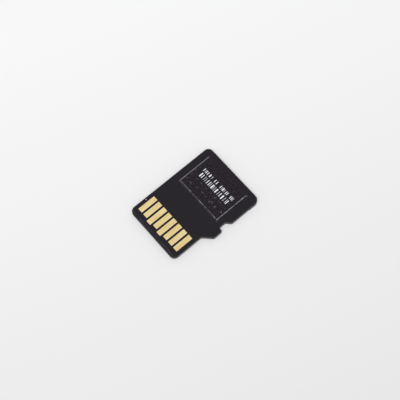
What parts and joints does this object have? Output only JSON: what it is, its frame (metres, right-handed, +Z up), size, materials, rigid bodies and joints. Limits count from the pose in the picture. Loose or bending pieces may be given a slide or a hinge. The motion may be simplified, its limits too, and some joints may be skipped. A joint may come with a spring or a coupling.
{
  "type": "microsd card",
  "caption": "Black microSD memory card with gold contacts, a side notch, a 45 degree shoulder and a grip ridge under its back edge.",
  "frame": {"origin": "under the middle of the card's rectangle, level with the bottom of the grip ridge", "axes": "+Z up out of the contact side, +Y from the contact edge to the back edge, +X towards the side notch"},
  "size_m": [0.011, 0.015, 0.001],
  "materials": {
    "mould_compound": "matte black epoxy",
    "laminate": "dark glass laminate with a routed edge",
    "black_lacquer": "satin black solder lacquer, worn at the contact edge",
    "green_lacquer": "thin green solder lacquer",
    "contact_gold": "hard gold plating, softly bright",
    "copper": "plated copper",
    "cover_film": "black adhesive film, slightly mottled",
    "silicon": "polished silicon",
    "attach_film": "cured adhesive film",
    "capacitor_ceramic": "fired ceramic",
    "tin": "matte tin",
    "bond_gold": "drawn gold wire and plated fingers"
  },
  "bodies": {
    "root": {"moulded_body": "mould_compound", "substrate": "laminate", "outer_solder_mask": "black_lacquer", "inner_solder_mask": "green_lacquer", "contact_dat2": "contact_gold", "contact_dat3": "contact_gold", "contact_cmd": "contact_gold", "contact_vdd": "contact_gold", "contact_clk": "contact_gold", "contact_vss": "contact_gold", "contact_dat0": "contact_gold", "contact_dat1": "contact_gold", "contact_vias": "copper", "test_pads": "copper", "cover_film": "cover_film", "die_attach_lower": "attach_film", "memory_die_lower": "silicon", "die_attach_upper": "attach_film", "memory_die_upper": "silicon", "die_attach_controller": "attach_film", "controller_die": "silicon", "capacitor_bodies": "capacitor_ceramic", "capacitor_terminals": "tin", "bond_fingers": "bond_gold", "memory_wires_lower": "bond_gold", "memory_wires_upper": "bond_gold", "controller_wires": "bond_gold"}
  },
  "joints": []
}
